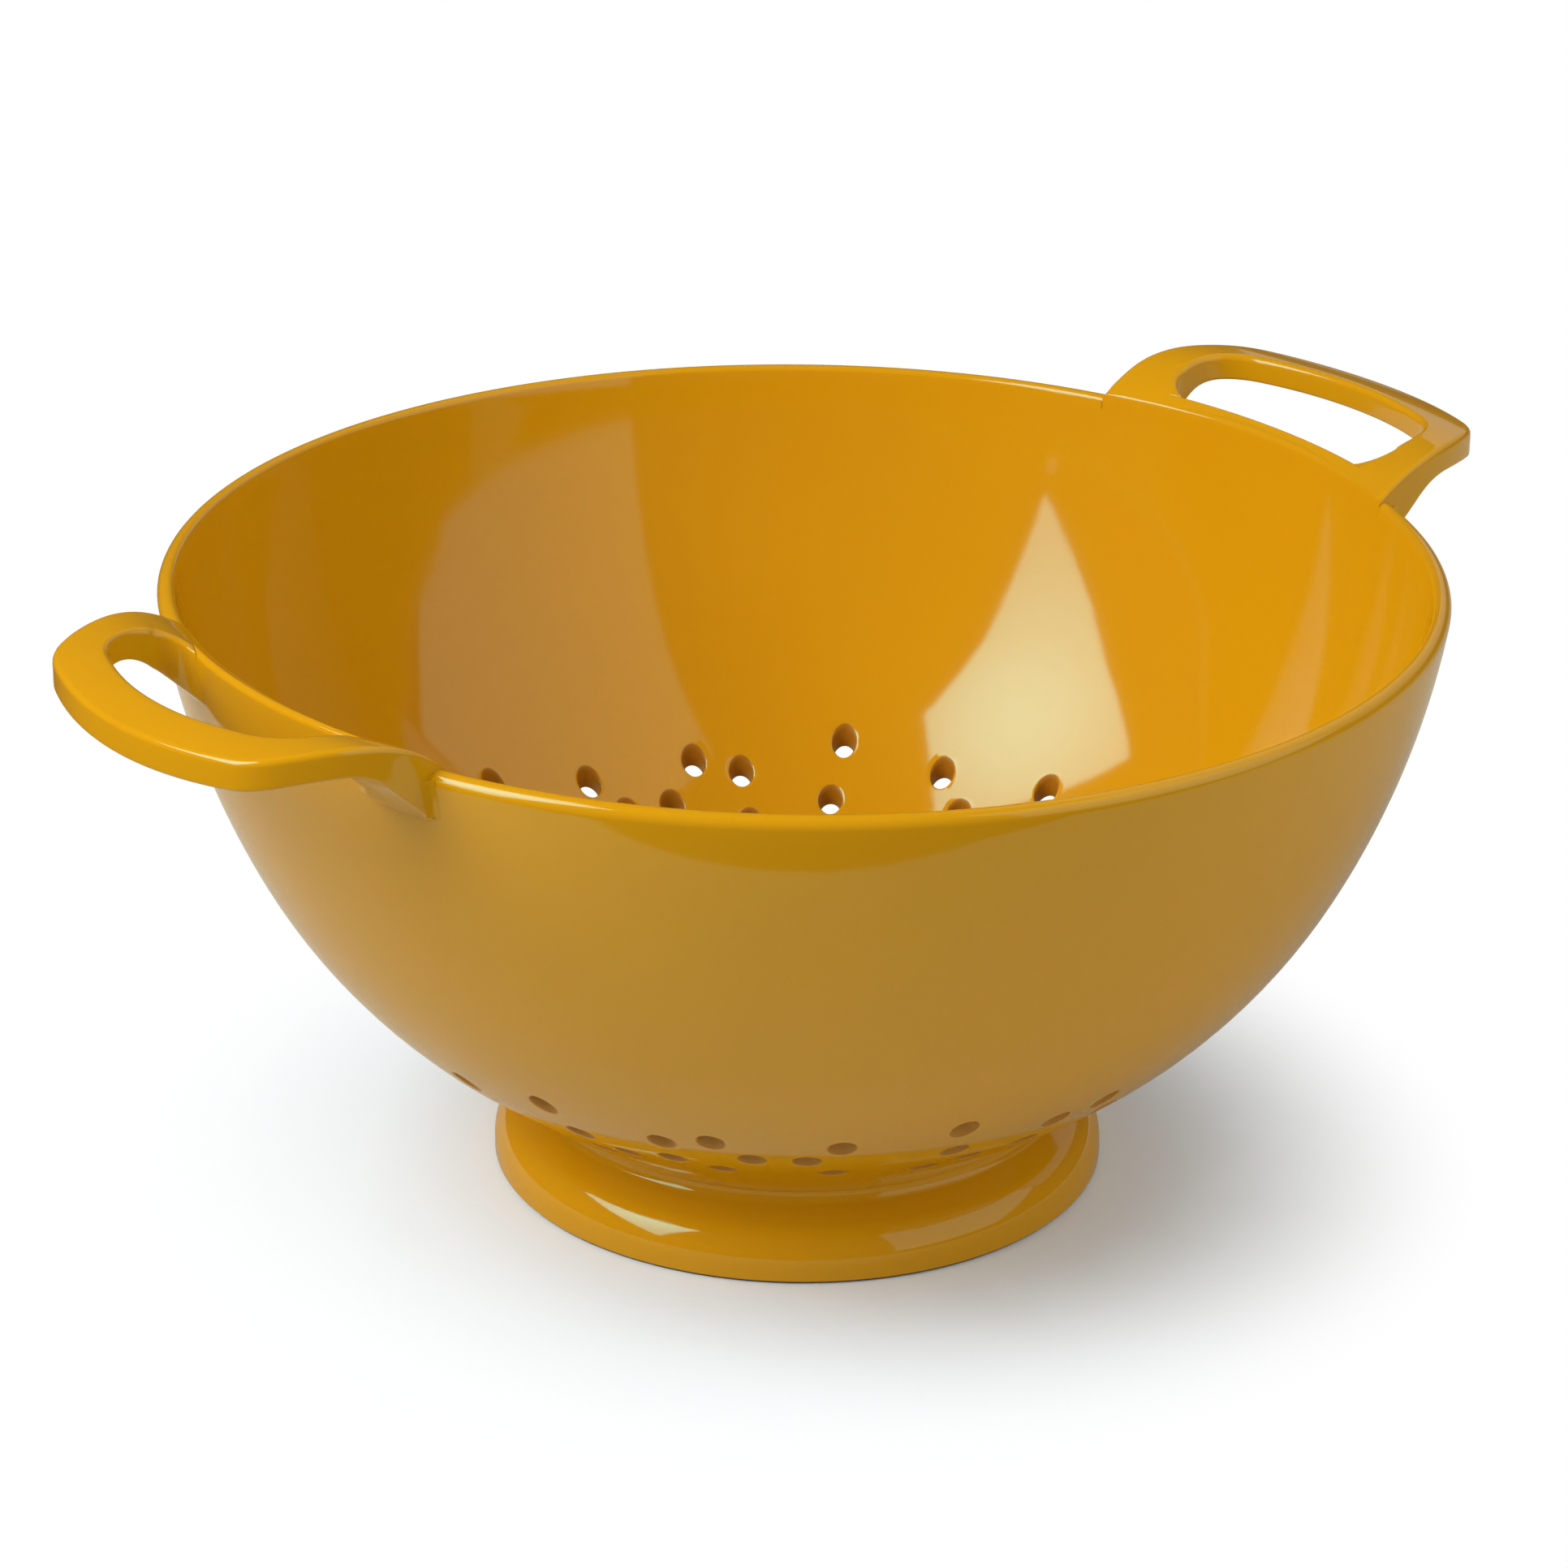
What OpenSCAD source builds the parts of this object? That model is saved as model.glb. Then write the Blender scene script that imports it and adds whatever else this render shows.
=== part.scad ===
/* [Bowl] */
// widest outside diameter of the bowl, at its rounded rim
rim_d = 240; // [230:1:250]
// height of the plain rim above the table
bowl_h = 120; // [116:0.5:124]
// wall thickness of the bowl
wall = 3.4; // [2.8:0.1:4]
// lean of the wall from vertical at the rim, in degrees
rim_lean = 7.3; // [6:0.1:9]
// outside radius of the upper wall curve, as a share of the bowl's depth
upper_share = 1.386; // [1.34:0.002:1.42]
// turn from the rim to the end of the upper wall curve, in degrees
upper_turn = 20.2; // [19:0.1:21]
// outside radius of the lower wall curve, as a share of the bowl's depth
lower_share = 0.989; // [0.95:0.002:1.02]
// turn of the lower wall curve, in degrees; a straight cone follows it
lower_turn = 27; // [26:0.1:28]
// outside radius of the curve between the cone and the flat floor
floor_r = 20; // [14:0.5:22]
// height of the flat floor's underside above the table
floor_h = 7.8; // [6:0.1:9]

/* [Drain holes] */
// diameter of each drain hole, bored straight down
drain_d = 4.4; // [3:0.1:5]
// plan radius of the outermost drain hole, as a share of the rim's radius
drain_share = 0.725; // [0.7:0.005:0.75]
// number of equal sectors that repeat the scatter of holes
sectors = 7; // [5:1:7]
// angle from the right handle to the first sector, in degrees
sector_start = 45.5; // [0:0.5:51]

/* [Handles] */
// distance that each handle stands out from the rim
overhang = 30.2; // [28:0.2:36]
// half width of a handle where it leaves the rim
handle_half_w = 40.2; // [38:0.2:42]
// radius of the handle's front edge in plan
front_r = 75.7; // [70:0.1:80]
// radius of the handle's side edge in plan
side_r = 42; // [40:0.5:46]
// distance inside the rim at which the side curve starts
side_in = 2.2; // [1:0.2:4]
// radius of the handle's corners in plan
corner_r = 13; // [10:0.5:15]
// distance from the rim to the handle's crest
crest_out = 15; // [14:0.2:16]
// height of the crest above the plain rim
crest_rise = 7.6; // [7:0.1:9]
// height of a handle's top above the plain rim, at the bowl's inside
root_rise = 0.55; // [0.2:0.05:1]
// radius of the top face beyond the crest
outer_dome_r = 51; // [45:0.5:60]
// thickness of the handle loop
loop_t = 5.3; // [4.4:0.1:6]
// radius of the hollow under the loop
under_r = 11; // [9:0.5:12]
// slope of the gusset that carries the loop on the bowl's wall, in degrees
gusset_slope = 45; // [40:1:50]
// height of the rim that a handle root wraps over
wrap_h = 2.5; // [2.3:0.1:3.5]

/* [Finger opening] */
// width of the loop in plan at its front
front_w = 9.3; // [8:0.1:11]
// radius of the opening's outer edge in plan
grip_front_r = 62; // [56:0.5:70]
// width of the loop in plan at its sides
side_w = 10; // [8:0.1:12]
// radius of the opening's outer corners
grip_corner_r = 11.5; // [9:0.5:13]
// radius of the opening's corners next to the bowl
grip_root_r = 5; // [3:0.5:7]

/* [Foot] */
// distance from the floor curve's end to the neck's outside, in plan
neck_out = 4.4; // [4:0.1:6]
// distance that the toe stands out from the neck
toe_out = 8.8; // [8:0.1:10]
// wall thickness of the neck
neck_wall = 3.8; // [3:0.1:4.2]
// radius of the hollow curve between the neck and the shoulder
cove_r = 2.3; // [1.8:0.1:2.6]
// slope of the shoulder's top
shoulder_slope = 30; // [26:1:34]
// radius of the rounded shoulder above the toe
shoulder_r = 8.5; // [7.5:0.5:9]
// height of the upright toe above the ring
toe_h = 2.6; // [2.2:0.1:2.8]
// width of the flat underside
base_w = 5; // [4.4:0.1:6]

/* [Non-slip ring] */
// height of the ring that shows under the foot
ring_h = 0.4; // [0.4:0.1:1]
// width of the ring's flat part
ring_w = 3.4; // [2.8:0.1:3.8]
// distance from the toe's outside to the ring's
ring_inset = 0.6; // [0.4:0.1:1]
// width of the tongue that holds the ring
tongue_w = 1.2; // [0.8:0.1:1.6]
// height of the tongue
tongue_h = 1.4; // [1:0.1:2]
// clearance around the tongue
ring_gap = 0.15; // [0.1:0.05:0.3]

/* [Hidden] */
$fn = 96;
melamine = [0.83, 0.55, 0.08];
rubber = [0.27, 0.25, 0.22];
// overrun of cutting shapes past the faces that they cut
over = wall;
// reach of a trimming wedge, as a multiple of the radius that it trims
wedge = 2;

// the point at radius r and angle a about c
function around(c, r, a) = [c.x + r * cos(a), c.y + r * sin(a)];

// the crossing of two circles that lies to the left of the way from p to q
function crossing(p, p_r, q, q_r) =
    let (
        gap = norm(q - p),
        ahead = (p_r * p_r - q_r * q_r + gap * gap) / (2 * gap),
        aside = sqrt(p_r * p_r - ahead * ahead),
        way = (q - p) / gap
    )
    p + ahead * way + aside * [-way.y, way.x];

// the angle at which q lies from p
function bearing(p, q) = atan2(q.y - p.y, q.x - p.x);

// rim: a full round on the middle of the wall
rim_r = rim_d / 2;
rim_round = wall / 2;
depth = bowl_h - floor_h;
upper_r = upper_share * depth;
lower_r = lower_share * depth;
upper_z = bowl_h + upper_r * sin(rim_lean);
mid_r = upper_r - rim_round;
rim_a = -asin((upper_z - bowl_h + rim_round) / mid_r);
upper_c = [rim_r - rim_round - mid_r * cos(rim_a), upper_z];
rim_c = around(upper_c, mid_r, rim_a);

// the wall below the rim: two curves, a cone, a floor curve and the floor
upper_a = -(rim_lean + upper_turn);
lower_a = upper_a - lower_turn;
lower_c = around(upper_c, upper_r - lower_r, upper_a);
cone_top = around(lower_c, lower_r, lower_a);
cone_fall = 1 / tan(-lower_a);
function cone_z(r) = cone_top.y - (cone_top.x - r) * cone_fall;
cone_end_z = floor_h + floor_r * (1 + sin(lower_a));
cone_end = [cone_top.x - (cone_top.y - cone_end_z) / cone_fall, cone_end_z];
floor_c = around(cone_end, -floor_r, lower_a);

// joint lines across the wall, each from a point inside it to a point outside it
reach_past = wedge * over;
function joint(c, r, a) = [around(c, r - wall - reach_past, a), around(c, r + reach_past, a)];
rim_joint = joint(upper_c, upper_r, rim_a);
upper_joint = joint(upper_c, upper_r, upper_a);
cone_joint = joint(lower_c, lower_r, lower_a);
floor_joint = joint(floor_c, floor_r, lower_a);
flat_joint = joint(floor_c, floor_r, -90);
// way along the cone past its ends, and way through its wall
cone_lap = reach_past * [-sin(lower_a), cos(lower_a)];
cone_in = -wall * [cos(lower_a), sin(lower_a)];

drain_reach = drain_share * rim_r;
// share of a sector's turn and share of drain_reach for each hole of one sector
side_hole_shares = [
    [0.000, 1.000], [0.026, 0.895], [0.000, 0.775], [0.116, 0.816],
    [0.281, 0.948], [0.269, 0.851], [0.409, 0.972], [0.398, 0.801],
    [0.497, 0.898], [0.638, 0.896], [0.719, 0.963], [0.717, 0.800]
];
floor_hole_shares = [[0.20, 0.15], [0.15, 0.31], [0.70, 0.26], [0.50, 0.41]];

// handle in plan: front, corner and side curves
reach = rim_r + overhang;
side_start = rim_r - side_in;
front_c = [reach - front_r, 0];
side_c = [side_start, handle_half_w - side_r];
corner_c = crossing(front_c, front_r - corner_r, side_c, side_r - corner_r);
front_a = bearing(front_c, corner_c);
side_a = bearing(side_c, corner_c);

// handle in section: domed top, hollow underside and sloping gusset
crest_z = bowl_h + crest_rise;
crest_at = rim_r + crest_out;
root_run = crest_out + wall;
root_drop = crest_rise - root_rise;
inner_dome_r = (pow(root_run, 2) + pow(root_drop, 2)) / (2 * root_drop);
inner_dome_c = [crest_at, crest_z - inner_dome_r];
outer_dome_c = [crest_at, crest_z - outer_dome_r];
under_c = [crest_at, crest_z - loop_t - under_r];
gusset_a = 90 + gusset_slope;
gusset_top = around(under_c, under_r, gusset_a);
handle_low = inner_dome_c.y - over;
gusset_run = (gusset_top.y - handle_low) / tan(gusset_slope);
gusset_low = [gusset_top.x - gusset_run, handle_low];
handle_top = crest_z + over;
seat_z = bowl_h - wrap_h;

// finger opening in plan
grip_half_w = handle_half_w - side_w;
grip_c = [reach - front_w - grip_front_r, 0];
grip_corner_y = grip_half_w - grip_corner_r;
grip_corner_run = sqrt(pow(grip_front_r - grip_corner_r, 2) - pow(grip_corner_y, 2));
grip_corner_c = [grip_c.x + grip_corner_run, grip_corner_y];
grip_a = bearing(grip_c, grip_corner_c);
grip_root_y = grip_half_w - grip_root_r;
grip_root_c = [sqrt(pow(rim_r + grip_root_r, 2) - pow(grip_root_y, 2)), grip_root_y];
grip_root_w = grip_root_y * rim_r / (rim_r + grip_root_r);

// foot in section
neck_r = cone_end.x + neck_out;
neck_in = neck_r - neck_wall;
toe_x = neck_r + toe_out;
shoulder_a = 90 - shoulder_slope;
shoulder_c = [toe_x - shoulder_r, ring_h + toe_h];
shoulder_end = around(shoulder_c, shoulder_r, shoulder_a);
shoulder_run = (toe_out - (shoulder_r + cove_r) * (1 - cos(shoulder_a))) / sin(shoulder_a);
cove_start = around(shoulder_end, shoulder_run, shoulder_a + 90);
cove_c = around(cove_start, cove_r, shoulder_a);
// the inside runs below the shoulder's top by the neck's wall
inner_x = toe_x - base_w;
inner_end = around(shoulder_end, -neck_wall, shoulder_a);
function inner_z(r) = inner_end.y + (inner_end.x - r) * tan(shoulder_slope);
ring_r = toe_x - ring_inset;
tongue_at = ring_r - ring_w / 2;

// the part of a disc between two angles
module slice(c, r, from, to) {
    intersection() {
        translate(c) circle(r);
        polygon([c, around(c, wedge * r, from), around(c, wedge * r, to)]);
    }
}

// everything inside the upper wall curve of radius r, between two heights
module inside_curve(r, low, high) {
    rotate_extrude()
        intersection() {
            translate(upper_c) circle(r);
            translate([0, low]) square([rim_d, high - low]);
        }
}

// a ring of wall about c, between two joint lines
module wall_curve(c, r, joint, next_joint) {
    intersection() {
        difference() {
            translate(c) circle(r);
            translate(c) circle(r - wall);
        }
        polygon([joint[0], joint[1], next_joint[1], next_joint[0]]);
    }
}

// half of the bowl's wall, from the rim to the middle of the floor
module bowl_section() {
    translate(rim_c) circle(rim_round);
    wall_curve(upper_c, upper_r, rim_joint, upper_joint);
    wall_curve(lower_c, lower_r, upper_joint, cone_joint);
    intersection() {
        polygon([
            cone_top + cone_lap,
            cone_top + cone_lap + cone_in,
            cone_end - cone_lap + cone_in,
            cone_end - cone_lap
        ]);
        polygon([cone_joint[0], cone_joint[1], floor_joint[1], floor_joint[0]]);
    }
    wall_curve(floor_c, floor_r, floor_joint, flat_joint);
    translate([0, floor_h]) square([floor_c.x, wall]);
}

// one drain bore through the full height of the bowl
module drain(at_r, at_a) {
    rotate([0, 0, at_a])
        translate([at_r, 0, 0])
            cylinder(h = bowl_h, d = drain_d);
}

module drains() {
    sector = 360 / sectors;
    drain(0, 0);
    for (n = [0 : sectors - 1])
        for (place = concat(side_hole_shares, floor_hole_shares))
            drain(drain_reach * place[1], sector_start + sector * (n + place[0]));
}

// the notch in the rim that a handle root fills
module handle_seat() {
    translate([0, -handle_half_w, seat_z])
        cube([rim_d, 2 * handle_half_w, wrap_h + over]);
}

// half section of the domed top, about the bowl's axis
module dome_section() {
    slice(inner_dome_c, inner_dome_r, 90, 180);
    slice(outer_dome_c, outer_dome_r, gusset_slope, 90);
}

// half section of the space between the gusset and the crest
module gusset_section() {
    polygon([
        gusset_top,
        gusset_low,
        [crest_at + over, handle_low],
        around(under_c, under_r, 90 - gusset_slope),
        under_c
    ]);
}

// a section turned about the bowl's axis, on the side of the handle
module turned() {
    rotate([0, 0, -90]) rotate_extrude(angle = 180) children();
}

module handle_outline() {
    slice(front_c, front_r, -front_a, front_a);
    translate([front_c.x, -handle_half_w])
        square([side_start - front_c.x, 2 * handle_half_w]);
    for (flip = [0, 1])
        mirror([0, flip, 0]) {
            translate(corner_c) circle(corner_r);
            slice(side_c, side_r, side_a, gusset_a);
        }
}

module grip_outline() {
    slice(grip_c, grip_front_r, -grip_a, grip_a);
    translate([grip_c.x, -grip_root_w])
        square([grip_root_c.x - grip_c.x, 2 * grip_root_w]);
    translate([grip_root_c.x, -grip_half_w])
        square([grip_corner_c.x - grip_root_c.x, 2 * grip_half_w]);
    for (flip = [0, 1])
        mirror([0, flip, 0]) {
            translate(grip_root_c) circle(grip_root_r);
            translate(grip_corner_c) circle(grip_corner_r);
        }
}

// a plan shape raised through the full height of a handle
module raised() {
    translate([0, 0, handle_low])
        linear_extrude(handle_top - handle_low) children();
}

// the handle on the +X side
module handle() {
    difference() {
        intersection() {
            turned() dome_section();
            raised() handle_outline();
        }
        turned() slice(outer_dome_c, outer_dome_r - loop_t, 0, 90);
        turned() slice(under_c, under_r, 90 - gusset_slope, gusset_a);
        turned() gusset_section();
        inside_curve(upper_r, handle_low, seat_z);
        inside_curve(upper_r - wall, handle_low, handle_top);
        difference() {
            raised() grip_outline();
            inside_curve(upper_r, seat_z, handle_top);
        }
    }
}

module bowl() {
    color(melamine)
        difference() {
            rotate_extrude() bowl_section();
            drains();
            handle_seat();
            rotate([0, 0, 180]) handle_seat();
        }
}

module handle_right() {
    color(melamine) handle();
}

module handle_left() {
    color(melamine) rotate([0, 0, 180]) handle();
}

// half of the foot's wall, without its shoulder
module foot_section() {
    difference() {
        polygon([
            [neck_in, cone_z(neck_in)],
            [neck_r, cone_z(neck_r)],
            [neck_r, cove_c.y],
            cove_c,
            cove_start,
            shoulder_end,
            [toe_x, shoulder_c.y],
            [toe_x, ring_h],
            [inner_x, ring_h],
            [inner_x, inner_z(inner_x)],
            [neck_in, inner_z(neck_in)]
        ]);
        translate(cove_c) circle(cove_r);
    }
}

// the ring wall under the bowl, with a groove for the ring's tongue
module foot() {
    groove_w = tongue_w + 2 * ring_gap;
    color(melamine)
        difference() {
            union() {
                rotate_extrude() foot_section();
                rotate_extrude()
                    intersection() {
                        translate(shoulder_c) circle(shoulder_r);
                        translate([inner_x, ring_h]) square([shoulder_r, toe_h + shoulder_r]);
                    }
            }
            rotate_extrude()
                translate([tongue_at - groove_w / 2, 0])
                    square([groove_w, ring_h + tongue_h + ring_gap]);
        }
}

module non_slip_ring() {
    color(rubber)
        rotate_extrude() {
            translate([ring_r - ring_w, 0]) square([ring_w, ring_h]);
            translate([tongue_at - tongue_w / 2, 0])
                square([tongue_w, ring_h + tongue_h]);
        }
}

bowl();
handle_left();
handle_right();
foot();
non_slip_ring();
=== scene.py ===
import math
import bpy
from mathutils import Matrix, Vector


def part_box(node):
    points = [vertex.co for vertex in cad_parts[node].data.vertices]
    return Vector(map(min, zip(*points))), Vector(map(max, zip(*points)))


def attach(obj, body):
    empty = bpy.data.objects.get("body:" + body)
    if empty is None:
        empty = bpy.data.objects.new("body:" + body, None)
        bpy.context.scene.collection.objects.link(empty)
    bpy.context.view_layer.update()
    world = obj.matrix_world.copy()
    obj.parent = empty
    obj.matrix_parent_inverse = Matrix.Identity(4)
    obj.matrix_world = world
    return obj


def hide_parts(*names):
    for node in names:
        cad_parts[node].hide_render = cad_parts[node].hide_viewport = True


bl_info = {
    "name": "Melamine colander",
    "version": (1, 0, 0),
    "blender": (4, 5, 0),
    "location": "View3D > Sidebar > Colander",
    "description": "Builds a glossy melamine colander on its CAD frame, with its stage",
    "category": "Add Mesh",
}

import bmesh
import bpy
from mathutils import Matrix, Vector
from mathutils.geometry import delaunay_2d_cdt

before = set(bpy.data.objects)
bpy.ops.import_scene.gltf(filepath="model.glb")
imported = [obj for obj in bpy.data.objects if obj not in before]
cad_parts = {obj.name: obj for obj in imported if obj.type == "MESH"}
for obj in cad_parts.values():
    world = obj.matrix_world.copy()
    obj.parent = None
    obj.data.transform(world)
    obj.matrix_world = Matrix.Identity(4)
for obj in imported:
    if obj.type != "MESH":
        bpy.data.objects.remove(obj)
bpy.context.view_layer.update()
RIM_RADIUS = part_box("bowl")[1].y
TOE_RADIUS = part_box("foot")[1].x
HANDLE_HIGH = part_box("handle_right")[1]
REACH = HANDLE_HIGH.x
CREST_HEIGHT = HANDLE_HIGH.z

FULL_TURN = 2 * math.pi
QUARTER = math.pi / 2
AXIS = Vector((0, 0))

# how near two points are one point, and how near a point counts as on a face or on the axis
SAME_POINT = 1e-6
SAME_BORE_POINT = 2e-6
CUT_TOLERANCE = 1e-7
ON_FACE = 2e-5
ON_AXIS = 1e-5

# how finely the bowl is divided
BOWL_STEPS = 240
LOWER_ROWS = 6
UPPER_ROWS = 20
RIM_OUTER_ROWS = 9
RIM_INNER_ROWS = 7
HOLE_SIDES = 24
HOLE_EDGE_ROWS = 3

# the perforated sheet: plan radius of its edge, distance between its points, and shares of lengths
SHEET_EDGE = 0.0925
SHEET_GAP = 0.0026
SHEET_MARGIN = 0.001
EDGE_ROOM_SHARE = 0.6
GUARD_SHARE = 1.7
INSIDE_BORE_SHARE = 0.985

# share of a sector's turn and share of the drain reach, for each hole of one sector
SIDE_HOLE_SHARES = (
    (0.000, 1.000), (0.026, 0.895), (0.000, 0.775), (0.116, 0.816),
    (0.281, 0.948), (0.269, 0.851), (0.409, 0.972), (0.398, 0.801),
    (0.497, 0.898), (0.638, 0.896), (0.719, 0.963), (0.717, 0.800),
)
FLOOR_HOLE_SHARES = ((0.20, 0.15), (0.15, 0.31), (0.70, 0.26), (0.50, 0.41))

# the part of the bowl that is searched for the rim at a handle: distance from the axis and height
SEAT_SEARCH_REACH = 0.09
SEAT_SEARCH_HEIGHT = 0.1

# how finely a handle is divided, along the loop and round its section
RIM_STATIONS = 16
ROOT_STATIONS = 12
CORNER_STATIONS = 20
FRONT_STATIONS = 14
CORNER_ROWS = 14
SIDE_ROWS = 10
TOP_ROWS = 8
EDGE_ROWS = 5
LOW_EDGE_ROWS = 3
FACE_ROWS = 4
UNDER_ROWS = 8

# a handle's shares, and how far below the rim its gusset is searched for the wall
ROOT_LEAD_SHARE = 0.08
ROUNDED_SHARE = 0.92
LEAST_LEAN = 0.25
MEET_SEARCH = 0.02
MEET_STEPS = 400

# the hollow fillet beside a handle's root
FILLET_ROWS = 5
FILLET_POINTS = 6
FILLET_REACH_SHARE = 1.25
FILLET_HOLLOW_SHARE = 0.42
FILLET_TOP_SHARE = 0.6
FILLET_SUNK = 0.0003

# the foot: how finely it is divided, how far its neck is sunk into the bowl, and the ring's chamfer
FOOT_STEPS = 180
COVE_ROWS = 12
SHOULDER_ROWS = 20
TOE_EDGE_ROWS = 5
INNER_EDGE_ROWS = 4
NECK_SUNK = 0.0002
CHAMFER_SHARE = 1 / 3

# the angle past which a corner is shaded as hard
SHARP = math.radians(42)

# sockets of a Mix node that mixes colours
MIX_FACTOR, MIX_A, MIX_B, MIX_RESULT = 0, 6, 7, 2

# melamine: its reflections, and the shares of red and green and of roughness between which it drifts
MELAMINE_IOR = 1.58
REFLECTION_TINT = (0.3, 0.93, 0.78, 1)
DARKER_SHARES = (0.97, 0.96)
LIGHTER_SHARES = (1.02, 1.03)
SMOOTHER_SHARE = 0.85
ROUGHER_SHARE = 1.25
DRIFT_SCALE = 22
DRIFT_DETAIL = 3
SKIN_SCALE = 140
SKIN_DETAIL = 4
SKIN_STRENGTH = 0.015
SKIN_DEPTH = 0.001
# painted shade: these shares scale down the bore walls' red and green to darken the holes' insides; the
# roughness below is the bores' own
BORE_SHADE_SHARES = (0.62, 0.50)
BORED_ROUGHNESS = 0.42

# rubber of the non-slip ring
RUBBER_ROUGHNESS = 0.75
GRAIN_SCALE = 900
GRAIN_DETAIL = 2
GRAIN_STRENGTH = 0.2
GRAIN_DEPTH = 0.0002

# camera fitted to the photograph: lens and sensor in millimetres, places in metres, turns in radians
LENS = 120.76
SENSOR = 36
CAMERA_SIGHT = 20
CAMERA_BACK = 0.91852
CAMERA_UP = 0.46419
CAMERA_YAW = -0.00363
CAMERA_PITCH = 0.40017
CAMERA_ROLL = 0.01149
VIEW_TURN = math.radians(-38.75)

# lamps: name, corners as azimuth and elevation in degrees, strength, times that in the middle,
# and whether the melamine mirrors it
PANELS = (
    ("Left softbox", ((-130, 12), (-83, 34), (-106, 67), (-141, 52)), 4.5, 1.8, True),
    ("Right panel", ((104, 4), (145, 2), (143, 62), (75, 62), (75, 25)), 0.86, 1.1, True),
    ("Far right panel", ((10, 8), (74, 20), (74, 62), (10, 62)), 0.42, 1.0, True),
    ("Front fill", ((105, -2), (175, -2), (175, 28), (105, 28)), 0.82, 1.0, False),
)
PANEL_DISTANCE = 1.3
PANEL_CUTS = 12
HOT_SHARE = 0.5
LIGHT_CENTRE = Vector((0, 0, 0.06))

# floor: its edges as the camera sees them, from the axis, and where its shadow fades to white
TABLE_FRONT = -0.225
TABLE_LEFT = -0.24
TABLE_RIGHT = 3.0
TABLE_BACK = 6.0
SHADOW_NEAR = 0.068
SHADOW_FAR = 0.135
FLOOR_LIFT_SHARES = (1.5, 1.757, 2.33)

# share of the white that reflections and clear materials see, and the world's light on the object
FLOOR_GLOSS_SHARE = 0.04
WORLD_GLOSS_SHARE = 0.04
WORLD_LEVEL = 0.33


class BowlSizes(bpy.types.PropertyGroup):
    rim_height: bpy.props.FloatProperty(
        name="Rim height", description="Height of the plain rim", default=0.120, unit="LENGTH"
    )
    wall: bpy.props.FloatProperty(
        name="Wall", description="Thickness of the bowl's wall", default=0.0034, unit="LENGTH"
    )
    rim_outer: bpy.props.FloatProperty(
        name="Rim outer edge", description="Rounding of the rim's outer edge", default=0.0020, unit="LENGTH"
    )
    rim_inner: bpy.props.FloatProperty(
        name="Rim inner edge",
        description="Rounding of the rim's inner edge",
        default=0.00125,
        unit="LENGTH",
    )
    rim_lean: bpy.props.FloatProperty(
        name="Rim lean",
        description="Lean of the wall from vertical at the rim",
        default=math.radians(7.3),
        subtype="ANGLE",
    )
    upper_radius: bpy.props.FloatProperty(
        name="Upper curve", description="Outside radius of the upper wall", default=0.155509, unit="LENGTH"
    )
    upper_turn: bpy.props.FloatProperty(
        name="Upper turn",
        description="Turn of the upper wall from the rim down",
        default=math.radians(20.2),
        subtype="ANGLE",
    )
    lower_radius: bpy.props.FloatProperty(
        name="Lower curve", description="Outside radius of the lower wall", default=0.110966, unit="LENGTH"
    )
    lower_turn: bpy.props.FloatProperty(
        name="Lower turn", description="Turn of the lower wall", default=math.radians(27), subtype="ANGLE"
    )
    floor_radius: bpy.props.FloatProperty(
        name="Floor curve",
        description="Outside radius of the curve into the floor",
        default=0.020,
        unit="LENGTH",
    )
    floor_height: bpy.props.FloatProperty(
        name="Floor", description="Height of the flat floor's underside", default=0.0078, unit="LENGTH"
    )
    drain_width: bpy.props.FloatProperty(
        name="Drain hole", description="Diameter of each drain hole", default=0.0044, unit="LENGTH"
    )
    drain_reach: bpy.props.FloatProperty(
        name="Drain reach",
        description="Plan radius of the outermost drain hole",
        default=0.087,
        unit="LENGTH",
    )
    drain_start: bpy.props.FloatProperty(
        name="Drain start",
        description="Turn from the right handle to the first sector of holes",
        default=math.radians(45.5),
        subtype="ANGLE",
    )
    drain_sectors: bpy.props.IntProperty(
        name="Sectors", description="Number of times the scatter of holes repeats", default=7, min=3
    )
    drain_round: bpy.props.FloatProperty(
        name="Hole edge", description="Rounding of the holes' edges", default=0.0008, unit="LENGTH"
    )


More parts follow.
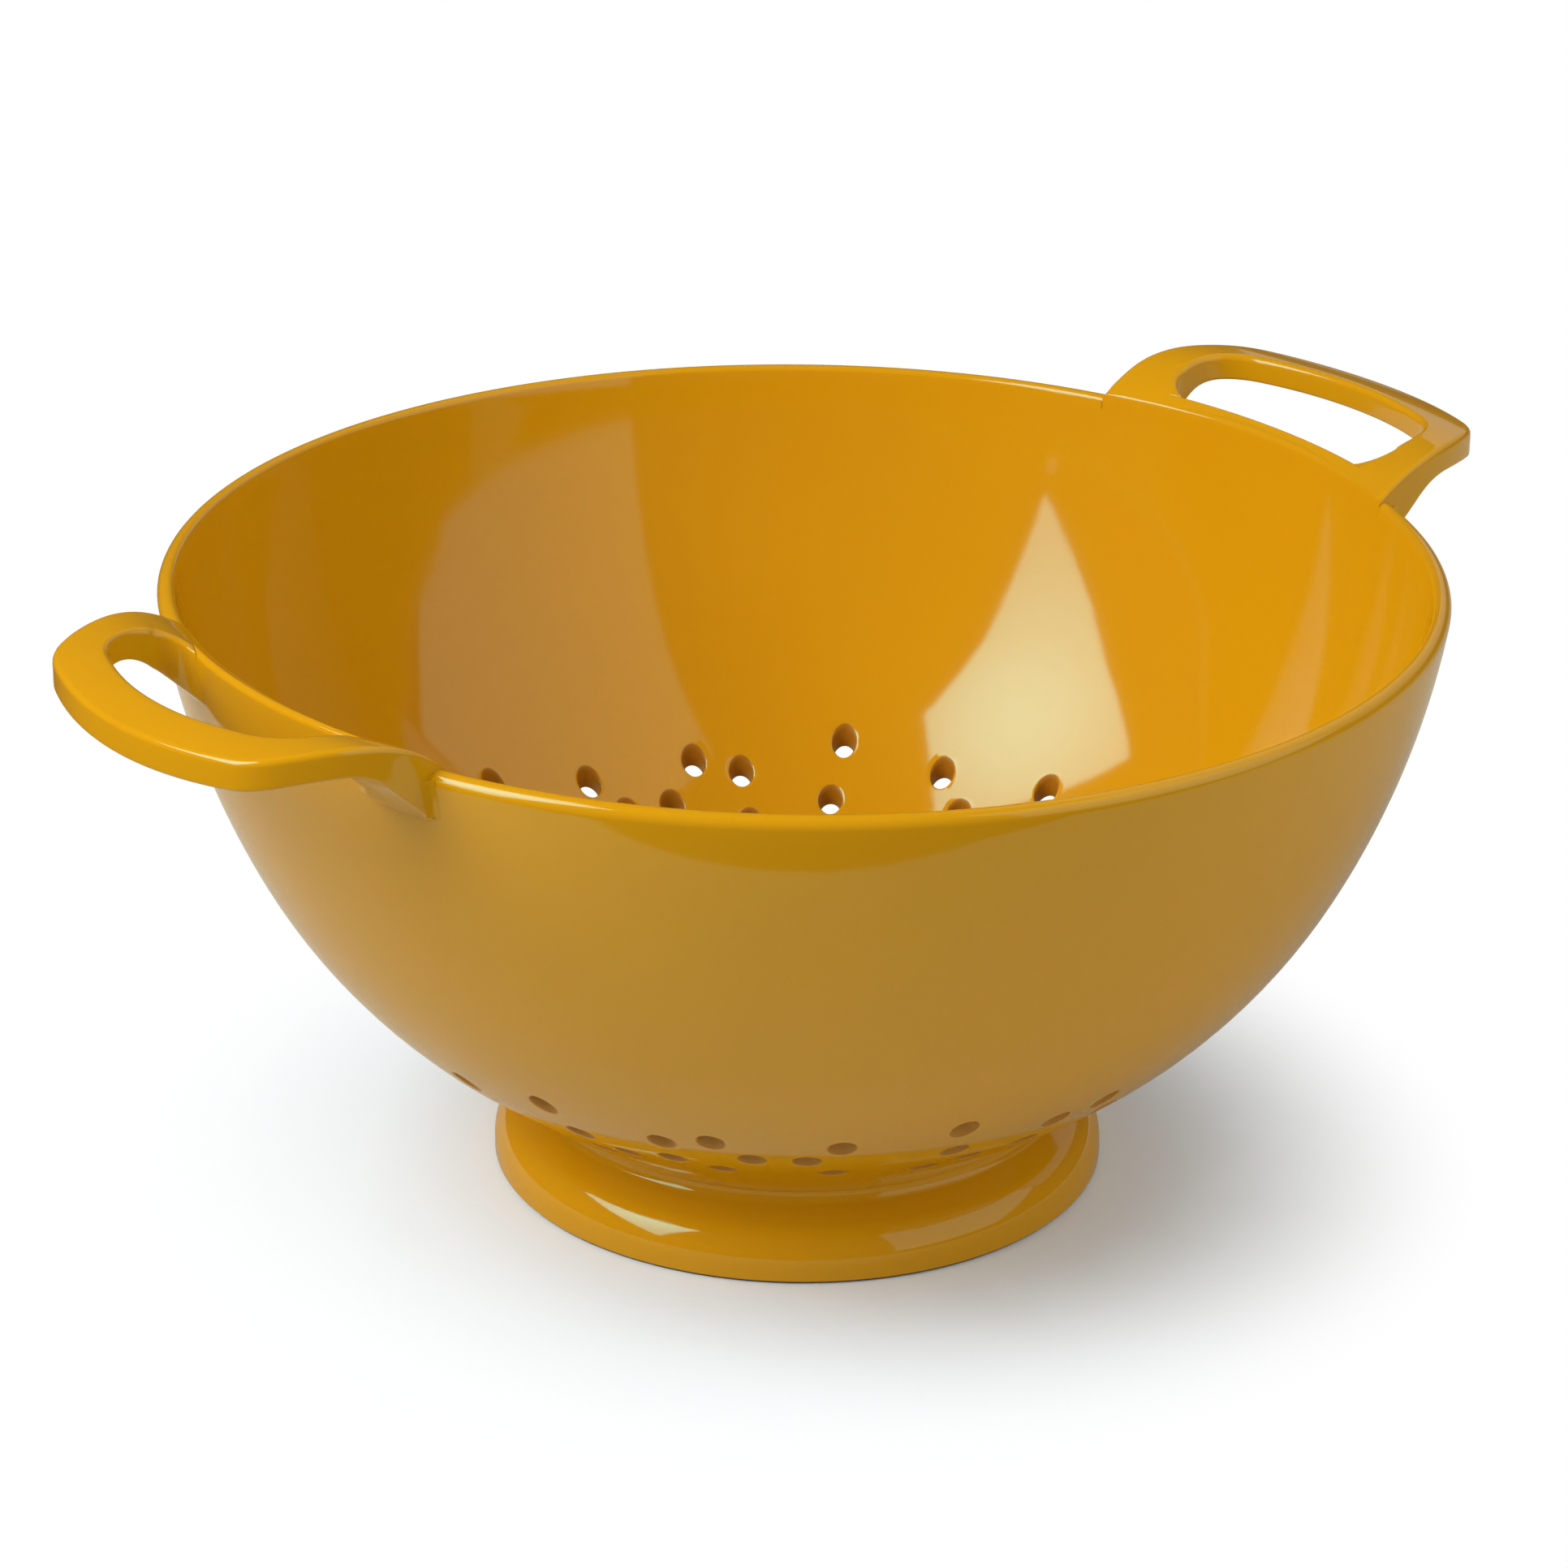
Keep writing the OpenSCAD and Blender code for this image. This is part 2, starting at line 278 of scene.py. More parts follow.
class HandleSizes(bpy.types.PropertyGroup):
    half_width: bpy.props.FloatProperty(
        name="Half width", description="Half width of a handle at the rim", default=0.0402, unit="LENGTH"
    )
    front_radius: bpy.props.FloatProperty(
        name="Front curve", description="Plan radius of the front edge", default=0.0757, unit="LENGTH"
    )
    side_radius: bpy.props.FloatProperty(
        name="Side curve", description="Plan radius of the side edges", default=0.042, unit="LENGTH"
    )
    side_start: bpy.props.FloatProperty(
        name="Side start",
        description="Distance from the axis to the side curve's start",
        default=0.1178,
        unit="LENGTH",
    )
    corner_radius: bpy.props.FloatProperty(
        name="Corner", description="Plan radius of the corners", default=0.013, unit="LENGTH"
    )
    crest_at: bpy.props.FloatProperty(
        name="Crest", description="Distance from the axis to the crest", default=0.135, unit="LENGTH"
    )
    inner_dome: bpy.props.FloatProperty(
        name="Inner dome",
        description="Radius of the top face inside the crest",
        default=0.0274,
        unit="LENGTH",
    )
    outer_dome: bpy.props.FloatProperty(
        name="Outer dome",
        description="Radius of the top face outside the crest",
        default=0.051,
        unit="LENGTH",
    )
    thickness: bpy.props.FloatProperty(
        name="Thickness", description="Thickness of the loop", default=0.0053, unit="LENGTH"
    )
    under_radius: bpy.props.FloatProperty(
        name="Hollow", description="Radius of the hollow under the crest", default=0.011, unit="LENGTH"
    )
    wrap: bpy.props.FloatProperty(
        name="Wrap", description="Height of the rim that the root covers", default=0.0025, unit="LENGTH"
    )
    grip_reach: bpy.props.FloatProperty(
        name="Opening reach",
        description="Distance from the axis to the opening's outer edge",
        default=0.1409,
        unit="LENGTH",
    )
    grip_front: bpy.props.FloatProperty(
        name="Opening front",
        description="Plan radius of the opening's outer edge",
        default=0.062,
        unit="LENGTH",
    )
    grip_half_width: bpy.props.FloatProperty(
        name="Opening half width",
        description="Half width of the finger opening",
        default=0.0302,
        unit="LENGTH",
    )
    grip_corner: bpy.props.FloatProperty(
        name="Opening corner",
        description="Radius of the opening's outer corners",
        default=0.0115,
        unit="LENGTH",
    )
    grip_root: bpy.props.FloatProperty(
        name="Opening root",
        description="Radius of the opening's corners at the bowl",
        default=0.005,
        unit="LENGTH",
    )
    edge: bpy.props.FloatProperty(
        name="Edge", description="Rounding of the loop's upper edges", default=0.0012, unit="LENGTH"
    )
    low_edge: bpy.props.FloatProperty(
        name="Lower edge", description="Rounding of the loop's lower edges", default=0.0006, unit="LENGTH"
    )
    ridge: bpy.props.FloatProperty(
        name="Ridge",
        description="Rounding of the rim's edge in the finger opening",
        default=0.0012,
        unit="LENGTH",
    )
    fillet: bpy.props.FloatProperty(
        name="Fillet",
        description="Hollow fillet between a handle's side and the bowl",
        default=0.0012,
        unit="LENGTH",
    )


class FootSizes(bpy.types.PropertyGroup):
    neck_width: bpy.props.FloatProperty(
        name="Neck", description="Diameter of the neck under the bowl", default=0.10006, unit="LENGTH"
    )
    neck_wall: bpy.props.FloatProperty(
        name="Neck wall", description="Wall thickness of the foot", default=0.0038, unit="LENGTH"
    )
    cove: bpy.props.FloatProperty(
        name="Cove", description="Radius of the hollow curve under the neck", default=0.0023, unit="LENGTH"
    )
    slope: bpy.props.FloatProperty(
        name="Slope", description="Slope of the shoulder's top", default=math.radians(30), subtype="ANGLE"
    )
    shoulder: bpy.props.FloatProperty(
        name="Shoulder", description="Radius of the rounded shoulder", default=0.0085, unit="LENGTH"
    )
    toe_height: bpy.props.FloatProperty(
        name="Toe", description="Height of the upright toe above the ring", default=0.0026, unit="LENGTH"
    )
    base_width: bpy.props.FloatProperty(
        name="Base", description="Width of the flat underside", default=0.005, unit="LENGTH"
    )
    edge: bpy.props.FloatProperty(
        name="Edge", description="Rounding of the underside's edges", default=0.0005, unit="LENGTH"
    )
    ring_height: bpy.props.FloatProperty(
        name="Ring height", description="Height of the ring under the foot", default=0.0004, unit="LENGTH"
    )
    ring_width: bpy.props.FloatProperty(
        name="Ring width", description="Width of the ring's flat part", default=0.0034, unit="LENGTH"
    )
    ring_inset: bpy.props.FloatProperty(
        name="Ring inset",
        description="Distance from the toe's outside to the ring's",
        default=0.0006,
        unit="LENGTH",
    )


class Finishes(bpy.types.PropertyGroup):
    melamine: bpy.props.FloatVectorProperty(
        name="Melamine",
        description="Colour of the moulded melamine",
        default=(0.715, 0.335, 0.004, 1.0),
        subtype="COLOR",
        size=4,
        min=0.0,
        max=1.0,
    )
    gloss: bpy.props.FloatProperty(
        name="Roughness", description="Roughness of the melamine", default=0.07, min=0.0, max=1.0
    )
    rubber: bpy.props.FloatVectorProperty(
        name="Rubber",
        description="Colour of the non-slip ring",
        default=(0.055, 0.047, 0.038, 1.0),
        subtype="COLOR",
        size=4,
        min=0.0,
        max=1.0,
    )
    floor: bpy.props.FloatVectorProperty(
        name="Floor",
        description="Colour of the floor",
        default=(0.62, 0.60, 0.49, 1.0),
        subtype="COLOR",
        size=4,
        min=0.0,
        max=1.0,
    )


def around(centre, radius, angle):
    """The point at an angle on a circle."""
    return Vector((centre.x + radius * math.cos(angle), centre.y + radius * math.sin(angle)))


def bearing(start, end):
    """The angle at which one point sees another."""
    return math.atan2(end.y - start.y, end.x - start.x)


def spread(start, end, count):
    """count + 1 values from start to end."""
    return [start + (end - start) * n / count for n in range(count + 1)]


def arc(centre, radius, start, end, count):
    """count + 1 points along an arc."""
    return [around(centre, radius, angle) for angle in spread(start, end, count)]


def circle_crossing(p, p_r, q, q_r):
    """Where two circles cross, on the left of the way from p to q."""
    gap = (q - p).length
    ahead = (p_r**2 - q_r**2 + gap**2) / (2 * gap)
    aside = math.sqrt(p_r**2 - ahead**2)
    way = (q - p) / gap
    return p + way * ahead + Vector((-way.y, way.x)) * aside


def resample(points, count):
    """The same chain as count + 1 evenly spaced points."""
    lengths = [0.0]
    for a, b in zip(points, points[1:]):
        lengths.append(lengths[-1] + (b - a).length)
    out = []
    for target in spread(0, lengths[-1], count):
        k = 0
        while k < len(points) - 2 and lengths[k + 1] < target:
            k += 1
        step = lengths[k + 1] - lengths[k]
        share = min(1.0, (target - lengths[k]) / step)
        out.append(points[k].lerp(points[k + 1], share))
    return out


class Wall:
    """The bowl's wall in section: x is the distance from the axis and y the height."""

    def __init__(self, sizes):
        self.thick = sizes.wall
        self.top = sizes.rim_height
        self.rim_outer = sizes.rim_outer
        self.rim_inner = sizes.rim_inner
        self.upper_r = sizes.upper_radius
        self.lower_r = sizes.lower_radius
        self.floor_r = sizes.floor_radius
        half = self.thick / 2
        mid = self.upper_r - half
        upper_z = self.top + self.upper_r * math.sin(sizes.rim_lean)
        rim_a = -math.asin((upper_z - self.top + half) / mid)
        self.upper_c = Vector((RIM_RADIUS - half - mid * math.cos(rim_a), upper_z))
        self.upper_a = -(sizes.rim_lean + sizes.upper_turn)
        self.lower_a = self.upper_a - sizes.lower_turn
        self.lower_c = around(self.upper_c, self.upper_r - self.lower_r, self.upper_a)
        self.cone_top = around(self.lower_c, self.lower_r, self.lower_a)
        self.fall = 1 / math.tan(-self.lower_a)
        cone_end = Vector((0, sizes.floor_height + self.floor_r * (1 + math.sin(self.lower_a))))
        cone_end.x = self.cone_top.x - (self.cone_top.y - cone_end.y) / self.fall
        self.floor_c = around(cone_end, -self.floor_r, self.lower_a)

    def height(self, rho, depth):
        """Height of the face that lies depth inside the outside face, at plan radius rho."""
        if rho <= self.floor_c.x:
            return self.floor_c.y - self.floor_r + depth
        radius = self.floor_r - depth
        if rho - self.floor_c.x <= radius * math.cos(self.lower_a):
            return self.floor_c.y - math.sqrt(radius**2 - (rho - self.floor_c.x) ** 2)
        radius = self.lower_r - depth
        if rho - self.lower_c.x <= radius * math.cos(self.lower_a):
            cone_z = self.cone_top.y - (self.cone_top.x - rho) * self.fall
            return cone_z + depth / math.cos(QUARTER + self.lower_a)
        if rho - self.lower_c.x <= radius * math.cos(self.upper_a):
            return self.lower_c.y - math.sqrt(radius**2 - (rho - self.lower_c.x) ** 2)
        radius = self.upper_r - depth
        return self.upper_c.y - math.sqrt(radius**2 - (rho - self.upper_c.x) ** 2)

    def radius(self, z, depth):
        """Plan radius of the upper wall's face at height z."""
        return self.upper_c.x + math.sqrt((self.upper_r - depth) ** 2 - (self.upper_c.y - z) ** 2)

    def outward(self, rho, z):
        """Direction square to the wall at a point in section, away from the bowl's inside."""
        here = Vector((rho, z))
        angle = bearing(self.upper_c, here)
        if angle >= self.upper_a:
            return angle
        angle = bearing(self.lower_c, here)
        if angle >= self.lower_a:
            return angle
        if rho <= self.floor_c.x:
            return -QUARTER
        return min(bearing(self.floor_c, here), self.lower_a)

    def depth(self, rho, z, angle):
        """How far a section point lies inside the outside face, given the outward direction there."""
        here = Vector((rho, z))
        if angle >= self.upper_a:
            return self.upper_r - (here - self.upper_c).length
        if angle > self.lower_a:
            return self.lower_r - (here - self.lower_c).length
        if rho <= self.floor_c.x:
            return z - (self.floor_c.y - self.floor_r)
        if angle < self.lower_a:
            return self.floor_r - (here - self.floor_c).length
        out = Vector((math.cos(self.lower_a), math.sin(self.lower_a)))
        return (self.cone_top - here).dot(out)


def to_object(name, bm, material):
    """Makes the bmesh an object in the scene."""
    mesh = bpy.data.meshes.new(name)
    bm.to_mesh(mesh)
    bm.free()
    mesh.materials.append(material)
    item = bpy.data.objects.new(name, mesh)
    bpy.context.scene.collection.objects.link(item)
    return item


def new_piece(name, bm, body, material, replaced):
    """Makes the bmesh a piece on its CAD body, in place of its CAD node."""
    piece = to_object(name, bm, material)
    piece.data.shade_smooth()
    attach(piece, body)
    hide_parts(replaced)
    return piece


def even_shading(piece):
    """Keeps flat faces flat in shading and hard corners hard."""
    piece.data.set_sharp_from_angle(angle=SHARP)
    weight = piece.modifiers.new("Even shading", "WEIGHTED_NORMAL")
    weight.keep_sharp = True


def new_material(name):
    """A material with its node tree."""
    material = bpy.data.materials.new(name)
    material.use_nodes = True
    return material, material.node_tree


def noise(tree, scale, detail):
    """A noise pattern on the piece's Object coordinates."""
    place = tree.nodes.new("ShaderNodeTexCoord")
    pattern = tree.nodes.new("ShaderNodeTexNoise")
    pattern.inputs["Scale"].default_value = scale
    pattern.inputs["Detail"].default_value = detail
    tree.links.new(place.outputs["Object"], pattern.inputs["Vector"])
    return pattern


def add_bump(tree, shader, pattern, strength, depth):
    """Raises a pattern on the surface."""
    bump = tree.nodes.new("ShaderNodeBump")
    bump.inputs["Strength"].default_value = strength
    bump.inputs["Distance"].default_value = depth
    tree.links.new(pattern.outputs["Fac"], bump.inputs["Height"])
    tree.links.new(bump.outputs["Normal"], shader.inputs["Normal"])


def toned(colour, shares):
    """The colour with its red and green scaled."""
    return (colour[0] * shares[0], colour[1] * shares[1], colour[2], 1)


def melamine_material():
    """Glossy moulded melamine: clear skin, slight colour drift, faint surface waviness."""
    finish = bpy.context.scene.colander_finishes
    material = bpy.data.materials.get("Mustard melamine")
    if material:
        return material
    material, tree = new_material("Mustard melamine")
    shader = tree.nodes["Principled BSDF"]
    shader.inputs["IOR"].default_value = MELAMINE_IOR
    shader.inputs["Specular Tint"].default_value = REFLECTION_TINT
    drift = noise(tree, DRIFT_SCALE, DRIFT_DETAIL)
    tone = tree.nodes.new("ShaderNodeMix")
    tone.data_type = "RGBA"
    tone.inputs[MIX_A].default_value = toned(finish.melamine, DARKER_SHARES)
    tone.inputs[MIX_B].default_value = toned(finish.melamine, LIGHTER_SHARES)
    tree.links.new(drift.outputs["Fac"], tone.inputs[MIX_FACTOR])
    tree.links.new(tone.outputs[MIX_RESULT], shader.inputs["Base Color"])
    wear = tree.nodes.new("ShaderNodeMapRange")
    wear.inputs["To Min"].default_value = finish.gloss * SMOOTHER_SHARE
    wear.inputs["To Max"].default_value = finish.gloss * ROUGHER_SHARE
    tree.links.new(drift.outputs["Fac"], wear.inputs["Value"])
    tree.links.new(wear.outputs["Result"], shader.inputs["Roughness"])
    add_bump(tree, shader, noise(tree, SKIN_SCALE, SKIN_DETAIL), SKIN_STRENGTH, SKIN_DEPTH)
    return material


def bore_shade_material():
    """Rougher melamine on the walls of the bored holes, its colour darkened as painted shade inside the
    holes.
    """
    finish = bpy.context.scene.colander_finishes
    material = melamine_material().copy()
    material.name = "Bore melamine with painted shade"
    tree = material.node_tree
    shader = tree.nodes["Principled BSDF"]
    for name in ("Base Color", "Roughness"):
        tree.links.remove(shader.inputs[name].links[0])
    shader.inputs["Base Color"].default_value = toned(finish.melamine, BORE_SHADE_SHARES)
    shader.inputs["Roughness"].default_value = BORED_ROUGHNESS
    return material


def rubber_material():
    """Matt dark rubber with a fine grain."""
    finish = bpy.context.scene.colander_finishes
    material, tree = new_material("Dark rubber")
    shader = tree.nodes["Principled BSDF"]
    shader.inputs["Base Color"].default_value = finish.rubber
    shader.inputs["Roughness"].default_value = RUBBER_ROUGHNESS
    add_bump(tree, shader, noise(tree, GRAIN_SCALE, GRAIN_DETAIL), GRAIN_STRENGTH, GRAIN_DEPTH)
    return material


def spin_section(bm, points, steps):
    """Turns a chain of section points right round the axis and merges the seam."""
    verts = [bm.verts.new((p.x, 0, p.y)) for p in points]
    edges = [bm.edges.new(pair) for pair in zip(verts, verts[1:])]
    bmesh.ops.spin(
        bm,
        geom=verts + edges,
        cent=(0, 0, 0),
        axis=(0, 0, 1),
        angle=FULL_TURN,
        steps=steps,
        use_merge=True,
    )
    bmesh.ops.remove_doubles(bm, verts=bm.verts, dist=SAME_POINT)
    bmesh.ops.recalc_face_normals(bm, faces=bm.faces)


def rim_corner(wall, reach, rounding):
    """Angle and centre of a rounding that touches a wall face and the rim's top."""
    angle = -math.asin((wall.upper_c.y - wall.top + rounding) / reach)
    return angle, around(wall.upper_c, reach, angle)


def bowl_chain(wall):
    """Section points from the sheet's edge up the outside, over the rim and down the inside."""
    upper_in = wall.upper_r - wall.thick
    lower_in = wall.lower_r - wall.thick
    start_a = math.acos((SHEET_EDGE - wall.lower_c.x) / wall.lower_r)
    end_a = math.acos((SHEET_EDGE - wall.lower_c.x) / lower_in)
    outer_a, outer_c = rim_corner(wall, wall.upper_r - wall.rim_outer, wall.rim_outer)
    inner_a, inner_c = rim_corner(wall, upper_in + wall.rim_inner, wall.rim_inner)
    chain = arc(wall.lower_c, wall.lower_r, -start_a, wall.upper_a, LOWER_ROWS)
    chain += arc(wall.upper_c, wall.upper_r, wall.upper_a, outer_a, UPPER_ROWS)[1:]
    chain += arc(outer_c, wall.rim_outer, outer_a, QUARTER, RIM_OUTER_ROWS)[1:]
    chain += arc(inner_c, wall.rim_inner, QUARTER, math.pi + inner_a, RIM_INNER_ROWS)
    chain += arc(wall.upper_c, upper_in, inner_a, wall.upper_a, UPPER_ROWS)[1:]
    chain += arc(wall.lower_c, lower_in, wall.upper_a, -end_a, LOWER_ROWS)[1:]
    chain[0].x = chain[-1].x = SHEET_EDGE
    return chain


def rim_faces(bm, side, height):
    """The faces near one handle whose middles lie above a height."""
    middles = [(face, face.calc_center_median()) for face in bm.faces]
    return [face for face, middle in middles if middle.x * side > SEAT_SEARCH_REACH and middle.z > height]


def cut_seats(bm, wall, handle):
    """Cuts the two notches in the rim that the handle roots fill and cover."""
    seat = wall.top - handle.wrap
    half = handle.half_width
    cuts = (
        ((0, 0, seat), (0, 0, 1)),
        ((0, half, 0), (0, 1, 0)),
        ((0, -half, 0), (0, 1, 0)),
    )
    for side in (-1, 1):
        for point, normal in cuts:
            near = rim_faces(bm, side, SEAT_SEARCH_HEIGHT)
            near += list({e for f in near for e in f.edges}) + list({v for f in near for v in f.verts})
            bmesh.ops.bisect_plane(bm, geom=near, plane_co=point, plane_no=normal, dist=CUT_TOLERANCE)
        gone = [face for face in rim_faces(bm, side, seat) if abs(face.calc_center_median().y) < half]
        bmesh.ops.delete(bm, geom=gone, context="FACES")


def drain_places(sizes):
    """Plan centre of every drain hole."""
    sector = FULL_TURN / sizes.drain_sectors
    places = [AXIS]
    for n in range(sizes.drain_sectors):
        for turn, share in SIDE_HOLE_SHARES + FLOOR_HOLE_SHARES:
            angle = sizes.drain_start + sector * (n + turn)
            places.append(around(AXIS, sizes.drain_reach * share, angle))
    return places


def sheet_plan(sizes):
    """Flat triangles of the perforated part of the wall in plan, with the rings round each hole."""
    bore = sizes.drain_width / 2
    guard = bore + GUARD_SHARE * sizes.drain_round
    clear = guard + SHEET_GAP / 2
    inside = bore * INSIDE_BORE_SHARE
    holes = drain_places(sizes)
    points, loops = [], []

    def add_ring(centre, radius, sides, turn=0.0):
        start = len(points)
        points.extend(around(centre, radius, turn + FULL_TURN * n / sides) for n in range(sides))
        loops.append(list(range(start, start + sides)))

    def from_hole(spot):
        return min((spot - hole).length for hole in holes)

    add_ring(AXIS, SHEET_EDGE, BOWL_STEPS)
    for hole in holes:
        add_ring(hole, bore, HOLE_SIDES)
        add_ring(hole, guard, HOLE_SIDES, FULL_TURN / HOLE_SIDES / 2)
    row = SHEET_GAP * math.sqrt(3) / 2
    rows = int(SHEET_EDGE / row)
    for j in range(-rows, rows + 1):
        for i in range(-rows, rows + 1):
            spot = Vector(((i + j % 2 / 2) * SHEET_GAP, j * row))
            if spot.length <= SHEET_EDGE - SHEET_GAP * EDGE_ROOM_SHARE and from_hole(spot) > clear:
                points.append(spot)
    edges = [(a, b) for loop in loops for a, b in zip(loop, loop[1:] + loop[:1])]
    verts, _, faces, _, _, _ = delaunay_2d_cdt(points, edges, [], 0, CUT_TOLERANCE)
    kept = []
    for face in faces:
        middle = sum((verts[i] for i in face), Vector((0, 0))) / len(face)
        if middle.length < SHEET_EDGE and from_hole(middle) > inside:
            kept.append(face)
    return verts, kept


def wall_sheet(bm, plan, wall, depth):
    """Lifts the flat plan onto one face of the wall, and returns its edges round the holes."""
    verts, faces = plan
    lifted = [bm.verts.new((p.x, p.y, wall.height(p.length, depth))) for p in verts]
    for face in faces:
        order = face if depth else reversed(face)
        bm.faces.new([lifted[i] for i in order])
    bm.verts.ensure_lookup_table()
    loose = [v for v in lifted if not v.link_faces]
    bmesh.ops.delete(bm, geom=loose, context="VERTS")
    return [e for v in lifted if v.is_valid for e in v.link_edges if e.is_boundary]


def bore_holes(bm, sizes, wall):
    """Adds the perforated sheet's two faces, joins them at each hole and rounds the holes' edges."""
    plan = sheet_plan(sizes)
    rings = set(wall_sheet(bm, plan, wall, 0)) | set(wall_sheet(bm, plan, wall, wall.thick))
    rings = [e for e in rings if e.verts[0].co.xy.length < SHEET_EDGE - SHEET_MARGIN]
    for face in bmesh.ops.bridge_loops(bm, edges=rings, use_pairs=True)["faces"]:
        # the hole walls take the second material: the bores' melamine, darkened as painted shade
        face.material_index = 1
    bmesh.ops.remove_doubles(bm, verts=bm.verts, dist=SAME_BORE_POINT)
    bmesh.ops.recalc_face_normals(bm, faces=bm.faces)
    rings = [e for e in rings if e.is_valid]
    bmesh.ops.bevel(
        bm,
        geom=rings,
        offset=sizes.drain_round,
        offset_type="OFFSET",
        segments=HOLE_EDGE_ROWS,
        profile=0.5,
        affect="EDGES",
        clamp_overlap=False,
        material=-1,
    )


def set_wall_normals(piece, wall):
    """Gives each point on the wall's faces the true direction of the wall there."""
    mesh = piece.data
    normals = []
    for v in mesh.vertices:
        rho, z = v.co.xy.length, v.co.z
        normal = Vector(mesh.vertex_normals[v.index].vector)
        if z < wall.top - wall.thick or rho < RIM_RADIUS - 3 * wall.thick:
            angle = wall.outward(rho, z)
            depth = wall.depth(rho, z, angle)
            if min(abs(depth), abs(depth - wall.thick)) < ON_FACE and rho > ON_AXIS:
                sign = 1 if abs(depth) < wall.thick / 2 else -1
                flat = v.co.xy / rho * math.cos(angle)
                normal = Vector((flat.x, flat.y, math.sin(angle))) * sign
        normals.append(normal.normalized())
    mesh.normals_split_custom_set_from_vertices(normals)


class COLANDER_OT_bowl(bpy.types.Operator):
    """Builds the bowl with its rounded rim, drain holes and handle seats"""

    bl_idname = "colander.bowl"
    bl_label = "Bowl"

    def execute(self, context):
        sizes = context.scene.colander_bowl
        wall = Wall(sizes)
        bm = bmesh.new()
        spin_section(bm, bowl_chain(wall), BOWL_STEPS)
        cut_seats(bm, wall, context.scene.colander_handle)
        bore_holes(bm, sizes, wall)
        piece = new_piece("bowl_shell", bm, "root", melamine_material(), "bowl")
        # second slot: the bores' rougher melamine, its colour darkened as painted shade inside the holes
        piece.data.materials.append(bore_shade_material())
        set_wall_normals(piece, wall)
        return {"FINISHED"}


class Loop:
    """The plan and section of one handle, on the +X side."""

    def __init__(self, sizes, wall):
        self.sizes = sizes
        self.wall = wall
        self.seat = wall.top - sizes.wrap
        self.low_crest = CREST_HEIGHT - sizes.thickness
        self.front_c = Vector((REACH - sizes.front_radius, 0))
        self.side_c = Vector((sizes.side_start, sizes.half_width - sizes.side_radius))
        self.corner_c = circle_crossing(
            self.front_c,
            sizes.front_radius - sizes.corner_radius,
            self.side_c,
            sizes.side_radius - sizes.corner_radius,
        )
        self.front_a = bearing(self.front_c, self.corner_c)
        self.side_a = bearing(self.side_c, self.corner_c)
        self.grip_c = Vector((sizes.grip_reach - sizes.grip_front, 0))
        corner_y = sizes.grip_half_width - sizes.grip_corner
        run = math.sqrt((sizes.grip_front - sizes.grip_corner) ** 2 - corner_y**2)
        self.grip_corner_c = Vector((self.grip_c.x + run, corner_y))
        self.grip_a = bearing(self.grip_c, self.grip_corner_c)
        self.ridge_r = wall.radius(wall.top, 0)
        root_y = sizes.grip_half_width - sizes.grip_root
        root_x = math.sqrt((self.ridge_r + sizes.grip_root) ** 2 - root_y**2)
        self.grip_root_c = Vector((root_x, root_y))
        heights = spread(wall.top - MEET_SEARCH, wall.top, MEET_STEPS)
        self.wall_meet = max(z for z in heights if z <= self.slope_z(wall.radius(z, 0)))

    def slope_z(self, rho):
        """Height of the gusset's sloping underside at a plan radius."""
        turn = self.sizes.under_radius / math.sqrt(2)
        return self.low_crest - self.sizes.under_radius + turn + (rho - self.sizes.crest_at + turn)

    def top(self, p):
        """Height of the domed top at a plan point."""
        off = p.length - self.sizes.crest_at
        radius = self.sizes.inner_dome if off < 0 else self.sizes.outer_dome
        return CREST_HEIGHT - radius + math.sqrt(radius**2 - off**2)

    def under(self, p):
        """Height of the underside at a plan point, gusset included."""
        off = p.length - self.sizes.crest_at
        if off < -self.sizes.under_radius / math.sqrt(2):
            return self.slope_z(p.length)
        radius = self.sizes.under_radius if off < 0 else self.sizes.outer_dome - self.sizes.thickness
        return self.low_crest - radius + math.sqrt(radius**2 - off**2)

    def stations(self):
        """Plan points on the opening's edge and on the outer edge, from the rim's middle to the front."""
        sizes, wall = self.sizes, self.wall
        inner_r = wall.radius(wall.top, wall.thick)
        root_a = bearing(AXIS, self.grip_root_c)
        edge_a = math.asin(sizes.half_width / inner_r)
        inners = arc(AXIS, self.ridge_r, 0, root_a, RIM_STATIONS)
        outers = arc(AXIS, inner_r, 0, edge_a, RIM_STATIONS)
        stations = [(a, b, "rim") for a, b in zip(inners, outers)]

        meet_r = wall.radius(self.wall_meet, 0)
        meet_x = math.sqrt(meet_r**2 - sizes.half_width**2)
        turns = spread(math.pi + root_a, QUARTER, ROOT_STATIONS)
        turns[0] += (turns[1] - turns[0]) * ROOT_LEAD_SHARE
        for turn, x in zip(turns, spread(meet_x, sizes.side_start, ROOT_STATIONS)):
            inner = around(self.grip_root_c, sizes.grip_root, turn)
            stations.append((inner, Vector((x, sizes.half_width)), "root"))

        inners = [self.grip_root_c + Vector((0, sizes.grip_root))]
        inners += arc(self.grip_corner_c, sizes.grip_corner, QUARTER, self.grip_a, CORNER_ROWS)
        outers = arc(self.side_c, sizes.side_radius, QUARTER, self.side_a, SIDE_ROWS)
        outers += arc(self.corner_c, sizes.corner_radius, self.side_a, self.front_a, SIDE_ROWS)[1:]
        pairs = zip(resample(inners, CORNER_STATIONS), resample(outers, CORNER_STATIONS))
        stations += [(a, b, "loop") for a, b in pairs][1:]

        inners = arc(self.grip_c, sizes.grip_front, self.grip_a, 0, FRONT_STATIONS)
        outers = arc(self.front_c, sizes.front_radius, self.front_a, 0, FRONT_STATIONS)
        return stations + [(a, b, "loop") for a, b in zip(inners, outers)][1:]


